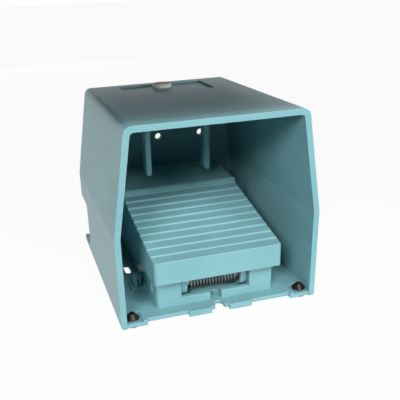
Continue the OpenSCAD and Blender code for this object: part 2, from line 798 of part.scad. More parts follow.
// Least gap of the wire to itself, between points more than half a curl apart
coil_gap = min([for (i = [0:len(coil_mids) - 1], j = [i + turn_steps / 2 + 1:1:len(coil_mids) - 1])
    norm(coil_mids[i] - coil_mids[j])]) - wire_d;
echo(torsion_spring_least_gap = coil_gap);

module torsion_spring() color(steel) seat() tube_of([for (c = coil_path)
    [for (j = [0:wire_sides - 1]) let (a = full_turn * j / wire_sides)
        coil_mid(c) + (radial(c[1]) * cos(a) + [1, 0, 0] * sin(a)) * wire_d / 2]]);

module cover_plan() {
    soft_plan(-body_half + cover_side, body_half - cover_side, cover_y, cover_end, cover_r);
}

module cover_holes(low, high) {
    both_sides() for (y = cover_screw_y) translate([cover_screw_x, y, 0])
        bar_z(low, high, m4 / 2 + screw_gap);
}

module contact_cover() color(steel) seat() difference() {
    union() {
        translate([0, 0, cover_low]) linear_extrude(height = cover_t) cover_plan();
        translate([0, plunger_y, 0]) {
            bar_z(cover_low, guide_top, guide_d / 2);
            bar_z(guide_low, cover_top, guide_low_d / 2);
        }
    }
    cover_holes(cover_low - cut, cover_top + cut);
    translate([0, plunger_y, 0]) {
        bar_z(guide_low - cut, guide_top + cut, plunger_d / 2 + run_gap);
        bar_z(guide_top - seal_t, guide_top + cut, seal_d / 2);
    }
    both_sides() translate([buffer_x, buffer_y, 0])
        bar_z(cover_low - cut, cover_top + cut, buffer_stud_d / 2);
}

module cover_gasket() color(black) seat() difference() {
    translate([0, 0, body_z]) linear_extrude(height = gasket_t) difference() {
        cover_plan();
        soft_plan(-body_half + body_wall, body_half - body_wall, bay_y, bay_end, bay_r);
    }
    cover_holes(body_z - cut, cover_low + cut);
}

// Pan head screw with its seat at z = 0 and its slot along Y
module pan_screw(d, head, h, l) {
    difference() {
        union() {
            rotate_extrude() polygon([[0, 0], [head / 2, 0], [head / 2, h * 2 / 3], [head / 2 - h / 3, h], [0, h]]);
            translate([0, 0, -l]) cylinder(d = d, h = l + h / 2);
        }
        translate([-slot_w / 2, -head, h - slot_t]) cube([slot_w, 2 * head, h]);
    }
}

module cover_screws() color(steel) seat() both_sides() for (y = cover_screw_y)
    translate([cover_screw_x, y, cover_top]) pan_screw(m4, m4_head, m4_head_h, cover_screw_l);

module plunger_seal() color(rubber) seat() translate([0, plunger_y, 0]) difference() {
    bar_z(guide_top - seal_t, guide_top, seal_d / 2);
    bar_z(guide_top - seal_t - cut, guide_top + cut, plunger_d / 2 + run_gap);
}

// Rubber stops for the end of the pedal's travel
module travel_buffers() color(rubber) seat() both_sides() translate([buffer_x, buffer_y, 0]) {
    bar_z(cover_low, cover_top, buffer_stud_d / 2);
    translate([0, 0, cover_top]) rotate_extrude() polygon([[0, 0], [buffer_d / 2, 0],
        [buffer_d / 2, (buffer_top - cover_top) * 4 / 5], [buffer_d / 2 - (buffer_top - cover_top) / 5,
        buffer_top - cover_top], [0, buffer_top - cover_top]]);
}

module contact_housing() color(black) seat() difference() {
    union() {
        translate([-housing_w / 2, housing_y, housing_z]) cube([housing_w, housing_l, housing_h]);
        translate([-housing_w / 2, housing_y - ledge_l, housing_z])
            cube([housing_w, housing_l + 2 * ledge_l, ledge_z - housing_z]);
    }
    difference() {
        translate([-housing_w / 2 + housing_wall, housing_y + housing_wall, cavity_z])
            cube([housing_w - 2 * housing_wall, housing_l - 2 * housing_wall, housing_h]);
        translate([0, plunger_y, 0]) bar_z(housing_z, cavity_z + spigot_h, spigot_d / 2);
    }
    for (y = [housing_y - ledge_l / 2, housing_end + ledge_l / 2]) {
        translate([0, y, 0]) bar_z(housing_z - cut, ledge_z + cut, m4 / 2 + screw_gap);
        both_sides() translate([bridge_x, y, 0])
            bar_z(ledge_z + strip_t - terminal_l - cut, ledge_z + cut, terminal_d / 2 + screw_gap);
    }
    // Ways through the end walls for the contact strips
    translate([bridge_x - bridge_w / 2 - screw_gap, housing_y - cut, no_z])
        cube([bridge_w + 2 * screw_gap, housing_l + 2 * cut, strip_t + screw_gap]);
    translate([-bridge_x - bridge_w / 2 - screw_gap, housing_y - cut, nc_z])
        cube([bridge_w + 2 * screw_gap, housing_l + 2 * cut, strip_t + screw_gap]);
}

module housing_screws() color(steel) seat() for (y = [housing_y - ledge_l / 2, housing_end + ledge_l / 2])
    translate([0, y, ledge_z]) pan_screw(m4, m4_head, m4_head_h, ledge_z - floor_z - strip_t / 2);

// A strip at each end of the housing, with its hole for the terminal screw
module strip_pair(x, profile_front) {
    for (end = [0, 1]) translate([0, plunger_y, 0]) mirror([0, end, 0]) translate([0, -plunger_y, 0])
        difference() {
            translate([x, 0, 0]) across(bridge_w) polygon(profile_front);
            translate([x, housing_y - ledge_l / 2, 0])
                bar_z(ledge_z - cut, ledge_z + strip_t + cut, terminal_d / 2 + screw_gap);
        }
}

lead_y = housing_y - ledge_l / 2 - lead_l / 2;
tip_y = housing_y + housing_wall + tip_l;

// Upper strips, which the bridge touches at rest
module opening_contacts() color(brass) seat() strip_pair(-bridge_x, [[tip_y, nc_z], [tip_y, nc_z + strip_t],
    [housing_y - lead_out, nc_z + strip_t], [housing_y - lead_out, ledge_z + strip_t],
    [lead_y, ledge_z + strip_t], [lead_y, ledge_z], [housing_y - lead_out + strip_t, ledge_z],
    [housing_y - lead_out + strip_t, nc_z]]);

// Lower strips, which the bridge reaches when the pedal is down
module closing_contacts() color(brass) seat() strip_pair(bridge_x, [[tip_y, no_z], [tip_y, no_z + strip_t],
    [lead_y, no_z + strip_t], [lead_y, no_z]]);

module terminal_clamps() color(steel) seat() for (y = [housing_y - ledge_l / 2, housing_end + ledge_l / 2])
    both_sides() difference() {
        translate([bridge_x - clamp_w / 2, y - terminal_head_d / 2 + lead_out / 4, ledge_z + strip_t])
            cube([clamp_w, terminal_head_d - lead_out / 2, clamp_t]);
        translate([bridge_x, y, 0]) bar_z(ledge_z, ledge_z + strip_t + clamp_t + cut, terminal_d / 2 + screw_gap);
    }

module terminal_screws() color(brass) seat() for (y = [housing_y - ledge_l / 2, housing_end + ledge_l / 2])
    both_sides() translate([bridge_x, y, ledge_z + strip_t + clamp_t])
        pan_screw(terminal_d, terminal_head_d - lead_out / 2, terminal_head_h, terminal_l);

// Compression spring inside the plunger
spring_n = spring_turns * turn_steps;
function spring_mid(i) = let (a = full_turn * i / turn_steps)
    [spring_r * cos(a), spring_r * sin(a), spring_low + (spring_top - spring_low) * i / spring_n];
spring_mids = [for (i = [0:spring_n]) spring_mid(i)];
spring_gap = min([for (i = [0:spring_n], j = [i + turn_steps / 2 + 1:1:spring_n])
    norm(spring_mids[i] - spring_mids[j])]) - spring_wire_d;
echo(return_spring_least_gap = spring_gap);

module return_spring() color(steel) seat() translate([0, plunger_y, 0]) tube_of([for (i = [0:spring_n])
    [for (j = [0:wire_sides - 1]) let (a = full_turn * i / turn_steps, b = full_turn * j / wire_sides)
        spring_mid(i) + ([cos(a), sin(a), 0] * cos(b) + [0, 0, -1] * sin(b)) * spring_wire_d / 2]]);

module earth_screw() color(brass) seat() translate([earth_x, earth_y, earth_z + clamp_t])
    pan_screw(m4, m4_head, m4_head_h, clamp_t + earth_z - well_z - clamp_t);

module earth_washer() color(brass) seat() translate([earth_x, earth_y, 0]) difference() {
    bar_z(earth_z, earth_z + clamp_t, earth_washer_d / 2);
    bar_z(earth_z - cut, earth_z + clamp_t + cut, m4 / 2 + screw_gap);
}

// Gland: hexagon outside the body, thread through its wall, neck under the nut
gland_seat = body_end + gland_washer_t;
gland_nut_y = gland_seat + gland_hex_l;
module hex_y(y0, y1, af) translate([0, y0, 0]) rotate([-90, 0, 0]) cylinder(d = af / cos(30), h = y1 - y0, $fn = 6);

module gland_body() color(black) seat() translate([0, 0, gland_z]) difference() {
    union() {
        hex_y(gland_seat, gland_nut_y, gland_af);
        bar_y(bay_end - gland_in_l, gland_seat + cut, gland_r);
        bar_y(gland_nut_y - cut, gland_nut_y + gland_neck_l, gland_neck_d / 2);
    }
    bar_y(bay_end - gland_in_l - cut, gland_nut_y + gland_neck_l + cut, gland_bore_d / 2);
}

module gland_washer() color(rubber) seat() translate([0, 0, gland_z]) difference() {
    bar_y(body_end, gland_seat, gland_af / 2);
    bar_y(body_end - cut, gland_seat + cut, gland_r + screw_gap);
}

module gland_locknut() color(black) seat() translate([0, 0, gland_z]) difference() {
    hex_y(bay_end - locknut_t, bay_end, gland_af);
    bar_y(bay_end - locknut_t - cut, bay_end + cut, gland_r + screw_gap);
}

module gland_seal() color(rubber) seat() translate([0, 0, gland_z]) difference() {
    bar_y(gland_nut_y + gland_neck_l, gland_nut_y + gland_neck_l + seal_len, gland_neck_d / 2);
    bar_y(gland_nut_y, gland_nut_y + 2 * seal_len + gland_neck_l, gland_bore_d / 2);
}

module gland_nut() color(black) seat() translate([0, 0, gland_z]) difference() {
    union() {
        hex_y(gland_nut_y, gland_nut_y + nut_hex_l, gland_af);
        translate([0, gland_nut_y + nut_hex_l, 0]) rotate([-90, 0, 0]) rotate_extrude()
            polygon([[0, 0], [gland_af / 2, 0], [gland_af / 2 - nut_wall / 2, nut_dome_l / 2],
                [gland_af / 2 - nut_wall * 2, nut_dome_l - nut_wall / 2], [gland_bore_d / 2 + nut_mouth, nut_dome_l],
                [0, nut_dome_l]]);
    }
    bar_y(gland_nut_y - cut, gland_nut_y + gland_neck_l + seal_len, gland_neck_d / 2 + screw_gap);
    bar_y(gland_nut_y, gland_nut_y + 2 * nut_hex_l + nut_dome_l, gland_bore_d / 2);
}

// Outline of the pedal's side: skirt edge, front face, treads, slope and smooth tail
module pedal_side() {
    polygon(concat([[pedal_y, skirt_z]], tread_points,
        [[smooth_y, smooth_z - tread_edge], [smooth_y + tread_edge, smooth_z],
            [smooth_y + riser_run * 3 / 5, smooth_z + riser_h * 3 / 4], [smooth_y + riser_run, smooth_z + riser_h], [pedal_end_y - tread_edge, tail_line(pedal_end_y)],
            [pedal_end_y, tail_line(pedal_end_y) - tread_edge], [pedal_end_y, tail_line(pedal_end_y) - tail_t],
            [skirt_end_y, tail_line(skirt_end_y) - tail_t], [skirt_end_y, skirt_line(skirt_end_y)]]));
}

module pedal_hollow() {
    polygon([[pedal_y + front_t, floor_z], [pedal_y + front_t, tread_line(pedal_y + front_t) - under],
        [smooth_y, smooth_z - under], [smooth_y + riser_run + plate_t / 2, tail_line(smooth_y) - plate_t],
        [skirt_end_y - rear_skirt_t, tail_line(skirt_end_y) - tail_t],
        [skirt_end_y - rear_skirt_t, tail_line(skirt_end_y) - rear_skirt_h],
        [pedal_end_y, tail_line(skirt_end_y) - rear_skirt_h], [pedal_end_y, floor_z]]);
}

// Plan of the pedal, a little wider at its rear
module pedal_plan(inset, front_r, rear_r) {
    soft_outline([[-pedal_half + inset, pedal_y], [pedal_half - inset, pedal_y],
        [pedal_rear_half - inset, pedal_end_y], [-pedal_rear_half + inset, pedal_end_y]],
        [front_r, front_r, rear_r, rear_r]);
}

module pedal_form() {
    intersection() {
        across(pedal_rear_w + 2 * cut) pedal_side();
        linear_extrude(height = top_z) pedal_plan(0, pedal_corner_r, pedal_rear_r);
    }
}

// What is cut from a side edge that runs from front to rear at the given slope
module side_round(y, z, slope, l, r) {
    taper = (pedal_rear_half - pedal_half) / pedal_l;
    translate([pedal_half + (y - pedal_y) * taper, y, z]) rotate([atan(slope), 0, -atan(taper)])
        back_over(l) difference() {
            translate([-r, -r]) square(r + cut);
            translate([-r, -r]) circle(r = r);
        }
}

module pedal() color(teal) seat() difference() {
    union() {
        difference() {
            pedal_form();
            intersection() {
                across(pedal_rear_w) pedal_hollow();
                linear_extrude(height = top_z) pedal_plan(skirt_t, 0, 0);
            }
            // Rounded side edges of the treads and of the smooth part
            both_sides() {
                side_round(pedal_y - cut, pedal_front_z - cut * tread_slope, tread_slope,
                    smooth_y + riser_run - pedal_y + 2 * cut, side_r);
                side_round(smooth_y + riser_run, smooth_z + riser_h, tail_rise, smooth_l, side_r);
            }
        }
        lug_ends();
        both_sides() {
            // Ribs that rest on the front of the body at the top of the travel
            translate([stop_x + stop_w / 2, 0, 0]) across(stop_w) polygon([[stop_y0, front_z + face_gap],
                [stop_y0, tread_line(stop_y0) - under + cut], [stop_y0 + stop_l, tread_line(stop_y0 + stop_l) - under + cut],
                [stop_y0 + stop_l, front_z + face_gap]]);
            // Long ribs behind the lugs
            translate([(lug_in + lug_out) / 2, 0, 0]) across(stiff_w) polygon([
                [hinge_y + lug_top_rear - cut, tread_line(hinge_y + lug_top_rear) - under - stiff_h],
                [hinge_y + lug_top_rear - cut, tread_line(hinge_y + lug_top_rear) - under + cut],
                [smooth_y, smooth_z - under + cut], [smooth_y, smooth_z - under - stiff_h]]);
            translate([buffer_x, buffer_boss_y, 0])
                bar_z(buffer_boss_z, tail_line(buffer_boss_y) - plate_t / 2, buffer_d / 2);
        }
        translate([0, tappet_y, 0]) bar_z(head_z + tappet_gap + tappet_t, tread_line(tappet_y) - under + plate_t / 2,
            tappet_boss_d / 2);
    }
    translate([0, hinge_y, hinge_z]) bar_x(-throat_half, throat_half, bush_d / 2);
    translate([0, tappet_y, 0]) {
        bar_z(head_z, head_z + tappet_gap + tappet_t, tappet_boss_d / 2);
        bar_z(head_z, head_z + tappet_gap + tappet_t + tappet_shank_l, tappet_shank_d / 2 + screw_gap);
    }
}

// The lugs hang below the pedal's side outline, down to the shaft
module lug_ends() {
    both_sides() translate([(lug_in + lug_out) / 2, 0, 0]) across(lug_t) {
        translate([hinge_y, hinge_z]) circle(d = lug_d);
        polygon([[hinge_y - lug_d / 2, hinge_z], [hinge_y + lug_d / 2, hinge_z],
            [hinge_y + lug_top_rear, tread_line(hinge_y + lug_top_rear) - under + cut],
            [hinge_y - lug_top_front, tread_line(hinge_y - lug_top_front) - under + cut]]);
    }
}

module hinge_bushes() color(brass) seat() both_sides() translate([0, hinge_y, hinge_z]) difference() {
    bar_x(lug_in, lug_out, bush_d / 2);
    bar_x(lug_in - cut, lug_out + cut, shaft_d / 2 + run_gap);
}

// Steel button under the pedal that pushes the plunger
module tappet() color(steel) seat() translate([0, tappet_y, head_z + tappet_gap]) rotate_extrude()
    polygon([[0, 0], [tappet_d / 5, 0], [tappet_d / 3, tappet_t / 7], [tappet_d / 2, tappet_t / 2],
        [tappet_d / 2, tappet_t], [tappet_shank_d / 2, tappet_t],
        [tappet_shank_d / 2, tappet_t + tappet_shank_l - screw_gap], [0, tappet_t + tappet_shank_l - screw_gap]]);

module plunger() color(pale) seat() translate([0, plunger_y, 0]) difference() {
    union() {
        bar_z(plunger_low, plunger_top, plunger_d / 2);
        bar_z(flange_z, flange_z + flange_t, flange_d / 2);
    }
    bar_z(plunger_low - cut, bore_top, plunger_bore_d / 2);
}

module plunger_head() color(steel) seat() translate([0, plunger_y, plunger_top]) rotate_extrude()
    polygon([[0, 0], [head_d / 2, 0], [head_d / 2, head_t * 2 / 3], [head_d / 2 - head_t / 3, head_t], [0, head_t]]);

module contact_carrier() color(black) seat() difference() {
    translate([-carrier_w / 2, plunger_y - carrier_l / 2, plunger_low])
        cube([carrier_w, carrier_l, flange_z - plunger_low]);
    translate([0, plunger_y, 0]) bar_z(plunger_low - cut, flange_z + cut, plunger_d / 2);
    both_sides() translate([bridge_x - bridge_w / 2 - screw_gap, plunger_y - carrier_l, bridge_z - screw_gap])
        cube([bridge_w + 2 * screw_gap, 2 * carrier_l, strip_t + 2 * screw_gap]);
}

module bridge_contacts() color(brass) seat() both_sides()
    translate([bridge_x - bridge_w / 2, plunger_y - bridge_l / 2, bridge_z]) cube([bridge_w, bridge_l, strip_t]);

guard();
rubber_feet();
roof_plug();
switch_body();
body_screws();
hinge_shaft();
shaft_grub_screws();
thrust_washers();
torsion_spring();
contact_cover();
cover_gasket();
cover_screws();
plunger_seal();
travel_buffers();
contact_housing();
housing_screws();
opening_contacts();
closing_contacts();
terminal_screws();
terminal_clamps();
return_spring();
earth_screw();
earth_washer();
gland_body();
gland_washer();
gland_locknut();
gland_seal();
gland_nut();
pedal();
hinge_bushes();
tappet();
plunger();
plunger_head();
contact_carrier();
bridge_contacts();
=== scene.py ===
import math

import bpy
from mathutils import Matrix, Vector


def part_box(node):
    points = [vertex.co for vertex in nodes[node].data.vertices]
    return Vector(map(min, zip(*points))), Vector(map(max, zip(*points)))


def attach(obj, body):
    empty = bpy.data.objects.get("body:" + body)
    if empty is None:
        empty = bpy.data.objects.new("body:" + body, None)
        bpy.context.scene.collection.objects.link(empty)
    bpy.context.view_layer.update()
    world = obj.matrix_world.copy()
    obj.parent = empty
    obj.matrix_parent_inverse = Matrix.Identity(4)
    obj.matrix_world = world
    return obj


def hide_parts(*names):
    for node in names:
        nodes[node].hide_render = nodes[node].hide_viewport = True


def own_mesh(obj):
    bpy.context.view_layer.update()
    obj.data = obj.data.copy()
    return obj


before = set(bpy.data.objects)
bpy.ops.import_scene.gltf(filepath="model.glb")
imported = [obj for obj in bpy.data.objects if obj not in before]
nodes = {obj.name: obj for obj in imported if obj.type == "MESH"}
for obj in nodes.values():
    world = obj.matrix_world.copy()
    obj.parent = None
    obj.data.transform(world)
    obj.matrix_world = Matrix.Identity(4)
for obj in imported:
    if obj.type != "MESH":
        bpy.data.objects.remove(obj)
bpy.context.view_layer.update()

MM = 0.001


def linear(hex_colour):
    """An sRGB hex colour as the linear RGBA that a shader takes."""
    part = [int(hex_colour[i:i + 2], 16) / 255 for i in (1, 3, 5)]
    return [c / 12.92 if c <= 0.04045 else ((c + 0.055) / 1.055) ** 2.4 for c in part] + [1.0]


def add(tree, kind, inputs=None, **settings):
    """Adds a node. Its inputs are given by name or number, as values, sockets or nodes.
    A node stands for its first output in use."""
    made = tree.nodes.new(kind)
    for name, value in settings.items():
        setattr(made, name, value)
    for name, value in (inputs or {}).items():
        into = made.inputs[name] if isinstance(name, int) else next(
            s for s in made.inputs if s.enabled and s.name == name)
        if isinstance(value, bpy.types.Node):
            value = next(s for s in value.outputs if s.enabled)
        if isinstance(value, bpy.types.NodeSocket):
            tree.links.new(value, into)
        else:
            into.default_value = value
    return made


def new_material(name):
    """An empty material and its node tree."""
    material = bpy.data.materials.new(name)
    material.use_nodes = True
    material.node_tree.nodes.clear()
    return material, material.node_tree


def per_mm(size_mm):
    """The noise scale whose features are about size_mm across, on coordinates in metres."""
    return 1 / (size_mm * MM)


def stoved_enamel():
    """Semi-gloss stoved enamel on a die casting: even blue-green with a faint orange peel,
    edges rounded by the film and painted paler as a highlight, a little dust on what faces up."""
    material, tree = new_material("stoved_enamel_blue_green")
    place = add(tree, "ShaderNodeTexCoord").outputs["Object"]
    rounded = add(tree, "ShaderNodeBevel", {"Radius": 0.6 * MM}, samples=6)
    flat = add(tree, "ShaderNodeNewGeometry").outputs["Normal"]
    # Painted highlight: the colour is mixed toward pale blue where the rounded normal turns away
    # from the flat one, as if the edges caught the light
    facing = add(tree, "ShaderNodeVectorMath", {0: rounded, 1: flat},
        operation="DOT_PRODUCT").outputs["Value"]
    edge_highlight_mask = add(tree, "ShaderNodeMapRange", {"Value": facing, "From Min": 0.99, "From Max": 0.84,
        "To Max": 0.55})
    cloud = add(tree, "ShaderNodeTexNoise", {"Vector": place, "Scale": per_mm(38), "Detail": 3.0})
    tone = add(tree, "ShaderNodeMapRange", {"Value": cloud, "From Min": 0.3, "From Max": 0.7})
    body = add(tree, "ShaderNodeMix", {"Factor": tone, "A": linear("#6f9ca3"),
        "B": linear("#76a3a9")}, data_type="RGBA")
    # Painted highlight: pale blue mixed in along the edges
    painted_edge_highlight = add(tree, "ShaderNodeMix", {"Factor": edge_highlight_mask, "A": body, "B": linear("#a9d6dd")},
        data_type="RGBA")
    up = add(tree, "ShaderNodeSeparateXYZ", {0: flat}).outputs["Z"]
    level = add(tree, "ShaderNodeMapRange", {"Value": up, "From Min": 0.8, "From Max": 1.0})
    specks = add(tree, "ShaderNodeTexNoise", {"Vector": place, "Scale": per_mm(14), "Detail": 4.0,
        "Roughness": 0.6})
    speckled_share = add(tree, "ShaderNodeMapRange", {"Value": specks, "From Min": 0.42, "From Max": 0.7,
        "To Max": 0.18})
    top_tint = add(tree, "ShaderNodeMath", {0: level, 1: speckled_share}, operation="MULTIPLY")
    colour = add(tree, "ShaderNodeMix", {"Factor": top_tint, "A": painted_edge_highlight, "B": linear("#6d8687")},
        data_type="RGBA")
    ripple = add(tree, "ShaderNodeTexNoise", {"Vector": place, "Scale": per_mm(2.4), "Detail": 2.0})
    peel = add(tree, "ShaderNodeBump", {"Height": ripple, "Normal": rounded, "Strength": 0.12,
        "Distance": 0.06 * MM})
    shader = add(tree, "ShaderNodeBsdfPrincipled", {"Base Color": colour, "Roughness": 0.3,
        "Normal": peel, "IOR": 1.45, "Specular IOR Level": 0.11})
    add(tree, "ShaderNodeOutputMaterial", {"Surface": shader})
    return material


def moulded_rubber():
    """Black moulded nitrile rubber: a low sheen, a grey bloom and the mould's faint grain."""
    material, tree = new_material("moulded_nitrile_rubber")
    place = add(tree, "ShaderNodeTexCoord").outputs["Object"]
    rounded = add(tree, "ShaderNodeBevel", {"Radius": 0.4 * MM}, samples=4)
    cloud = add(tree, "ShaderNodeTexNoise", {"Vector": place, "Scale": per_mm(5), "Detail": 4.0,
        "Roughness": 0.6})
    bloom = add(tree, "ShaderNodeMapRange", {"Value": cloud, "From Min": 0.4, "From Max": 0.75})
    colour = add(tree, "ShaderNodeMix", {"Factor": bloom, "A": linear("#15110f"),
        "B": linear("#25201d")}, data_type="RGBA")
    rough = add(tree, "ShaderNodeMapRange", {"Value": bloom, "To Min": 0.22, "To Max": 0.4})
    grain = add(tree, "ShaderNodeTexNoise", {"Vector": place, "Scale": per_mm(0.7), "Detail": 2.0})
    relief = add(tree, "ShaderNodeBump", {"Height": grain, "Normal": rounded, "Strength": 0.2,
        "Distance": 0.06 * MM})
    shader = add(tree, "ShaderNodeBsdfPrincipled", {"Base Color": colour, "Roughness": rough,
        "Normal": relief, "IOR": 1.5, "Specular IOR Level": 0.22})
    add(tree, "ShaderNodeOutputMaterial", {"Surface": shader})
    return material


def plug_polyethylene():
    """Moulded polyethylene plug: pale grey-green and waxy, browner, darker and duller on its top.
    """
    material, tree = new_material("moulded_polyethylene_plug")
    place = add(tree, "ShaderNodeTexCoord").outputs["Object"]
    rounded = add(tree, "ShaderNodeBevel", {"Radius": 0.5 * MM}, samples=4)
    # What faces up is mixed in specks toward a darker brownish grey and made rougher
    up = add(tree, "ShaderNodeSeparateXYZ", {0: rounded}).outputs["Z"]
    level = add(tree, "ShaderNodeMapRange", {"Value": up, "From Min": 0.5, "From Max": 0.95})
    specks = add(tree, "ShaderNodeTexNoise", {"Vector": place, "Scale": per_mm(3.5), "Detail": 4.0,
        "Roughness": 0.6})
    speckled_share = add(tree, "ShaderNodeMapRange", {"Value": specks, "From Min": 0.3, "From Max": 0.7,
        "To Min": 0.65, "To Max": 0.95})
    top_tint = add(tree, "ShaderNodeMath", {0: level, 1: speckled_share}, operation="MULTIPLY")
    colour = add(tree, "ShaderNodeMix", {"Factor": top_tint, "A": linear("#eaf2ea"),
        "B": linear("#cfc8b9")}, data_type="RGBA")
    rough = add(tree, "ShaderNodeMapRange", {"Value": top_tint, "To Min": 0.36, "To Max": 0.6})
    grain = add(tree, "ShaderNodeTexNoise", {"Vector": place, "Scale": per_mm(1.2), "Detail": 2.0})
    relief = add(tree, "ShaderNodeBump", {"Height": grain, "Normal": rounded, "Strength": 0.15,
        "Distance": 0.05 * MM})
    shader = add(tree, "ShaderNodeBsdfPrincipled", {"Base Color": colour, "Roughness": rough,
        "Normal": relief, "IOR": 1.5, "Subsurface Weight": 0.08, "Subsurface Scale": 0.3,
        "Subsurface Radius": (0.004, 0.004, 0.003)})
    add(tree, "ShaderNodeOutputMaterial", {"Surface": shader})
    return material


def metal(name, pale, dark, smooth, rough, grain_mm, stretch=(1, 1, 1), relief=0.1):
    """A metal with an even or drawn-out grain, broken edges and cloudy tarnish."""
    material, tree = new_material(name)
    place = add(tree, "ShaderNodeTexCoord").outputs["Object"]
    rounded = add(tree, "ShaderNodeBevel", {"Radius": 0.25 * MM}, samples=4)
    drawn = add(tree, "ShaderNodeMapping", {"Vector": place, "Scale": stretch})
    grain = add(tree, "ShaderNodeTexNoise", {"Vector": drawn, "Scale": per_mm(grain_mm),
        "Detail": 3.0})
    cloud = add(tree, "ShaderNodeTexNoise", {"Vector": place, "Scale": per_mm(6), "Detail": 4.0,
        "Roughness": 0.6})
    tarnish = add(tree, "ShaderNodeMapRange", {"Value": cloud, "From Min": 0.35, "From Max": 0.7})
    colour = add(tree, "ShaderNodeMix", {"Factor": tarnish, "A": linear(pale), "B": linear(dark)},
        data_type="RGBA")
    sheen = add(tree, "ShaderNodeMapRange", {"Value": grain, "From Min": 0.3, "From Max": 0.7,
        "To Min": smooth, "To Max": rough})
    marks = add(tree, "ShaderNodeBump", {"Height": grain, "Normal": rounded, "Strength": relief,
        "Distance": 0.03 * MM})
    shader = add(tree, "ShaderNodeBsdfPrincipled", {"Base Color": colour, "Roughness": sheen,
        "Normal": marks, "Metallic": 1.0})
    add(tree, "ShaderNodeOutputMaterial", {"Surface": shader})
    return material


def nylon(name, pale, dark, rough):
    """Injection moulded nylon: spark-eroded mould texture and a slightly greasy sheen."""
    material, tree = new_material(name)
    place = add(tree, "ShaderNodeTexCoord").outputs["Object"]
    rounded = add(tree, "ShaderNodeBevel", {"Radius": 0.3 * MM}, samples=4)
    cloud = add(tree, "ShaderNodeTexNoise", {"Vector": place, "Scale": per_mm(8), "Detail": 3.0})
    tone = add(tree, "ShaderNodeMapRange", {"Value": cloud, "From Min": 0.3, "From Max": 0.7})
    colour = add(tree, "ShaderNodeMix", {"Factor": tone, "A": linear(pale), "B": linear(dark)},
        data_type="RGBA")
    texture = add(tree, "ShaderNodeTexNoise", {"Vector": place, "Scale": per_mm(0.5),
        "Detail": 2.0})
    sheen = add(tree, "ShaderNodeMapRange", {"Value": texture, "From Min": 0.3, "From Max": 0.7,
        "To Min": rough - 0.05, "To Max": rough + 0.06})
    relief = add(tree, "ShaderNodeBump", {"Height": texture, "Normal": rounded, "Strength": 0.2,
        "Distance": 0.04 * MM})
    shader = add(tree, "ShaderNodeBsdfPrincipled", {"Base Color": colour, "Roughness": sheen,
        "Normal": relief, "IOR": 1.53})
    add(tree, "ShaderNodeOutputMaterial", {"Surface": shader})
    return material


enamel = stoved_enamel()
rubber = moulded_rubber()
plug = plug_polyethylene()
# Zinc plated steel: bright, slightly blue, with a cloudy passivate
zinc = metal("zinc_plated_steel", "#c3cacd", "#9aa2a6", 0.3, 0.42, 1.2)
# Turned steel: a fine grain drawn out along the shaft
turned = metal("turned_mild_steel", "#a9adb0", "#868b8e", 0.26, 0.38, 0.6, stretch=(0.15, 1, 1))
# Zinc plated spring wire: dull grey and satin
wire = metal("plated_spring_wire", "#8f9897", "#6c7675", 0.46, 0.6, 0.8)
# Die-cast aluminium, bare and fettled: matt, slightly porous skin
cast_bare = metal("bare_die_cast_aluminium", "#b4b9bb", "#979c9e", 0.42, 0.56, 1.6, relief=0.3)
# Brass strip and screws: stamped, lightly tarnished
brass = metal("stamped_contact_brass", "#c9a862", "#9c7f46", 0.28, 0.42, 0.9)
# Sintered bronze: oil-soaked, grainy and brown
bronze = metal("sintered_bronze_bush", "#a57c4c", "#7b5a37", 0.42, 0.55, 0.45, relief=0.35)
# Moulded nylon: near-black on the housing and gland, milky on the plunger and washers
black_nylon = nylon("moulded_nylon_black", "#1b1d1f", "#25282a", 0.48)
natural_nylon = nylon("moulded_nylon_natural", "#d9d8cd", "#cbc9bc", 0.42)

FINISHES = {
    "guard": enamel, "switch_body": enamel, "pedal": enamel,
    "rubber_feet": rubber, "plunger_seal": rubber, "travel_buffers": rubber, "cover_gasket": rubber,
    "gland_washer": rubber, "gland_seal": rubber, "roof_plug": plug,
    "body_screws": zinc, "shaft_grub_screws": zinc, "cover_screws": zinc, "housing_screws": zinc,
    "terminal_clamps": zinc, "hinge_shaft": turned, "tappet": turned, "plunger_head": turned,
    "torsion_spring": wire, "return_spring": wire, "thrust_washers": natural_nylon,
    "plunger": natural_nylon, "contact_cover": cast_bare, "contact_housing": black_nylon,
    "contact_carrier": black_nylon, "gland_body": black_nylon, "gland_locknut": black_nylon,
    "gland_nut": black_nylon, "opening_contacts": brass, "closing_contacts": brass,
    "bridge_contacts": brass, "terminal_screws": brass, "earth_screw": brass, "earth_washer": brass,
    "hinge_bushes": bronze,
}
for name, finish in FINISHES.items():
    for slot in nodes[name].material_slots:
        slot.material = finish


def wire_tree():
    """Geometry nodes that give a path its round wire."""
    tree = bpy.data.node_groups.new("round_wire", "GeometryNodeTree")
    for name, kind in (("Path", "NodeSocketGeometry"), ("Wire radius", "NodeSocketFloat"),
            ("Sides", "NodeSocketInt"), ("Finish", "NodeSocketMaterial")):
        tree.interface.new_socket(name, in_out="INPUT", socket_type=kind)
    tree.interface.new_socket("Wire", in_out="OUTPUT", socket_type="NodeSocketGeometry")
    given = add(tree, "NodeGroupInput").outputs
    section = add(tree, "GeometryNodeCurvePrimitiveCircle", {"Resolution": given["Sides"],
        "Radius": given["Wire radius"]})
    curve = add(tree, "GeometryNodeMeshToCurve", {"Mesh": given["Path"]})
    tube = add(tree, "GeometryNodeCurveToMesh", {"Curve": curve, "Profile Curve": section,
        "Fill Caps": True})
    smooth = add(tree, "GeometryNodeSetShadeSmooth", {"Geometry": tube})
    real = add(tree, "GeometryNodeRealizeInstances", {"Geometry": smooth})
    coated = add(tree, "GeometryNodeSetMaterial", {"Geometry": real, "Material": given["Finish"]})
    add(tree, "NodeGroupOutput", {"Wire": coated})
    return tree


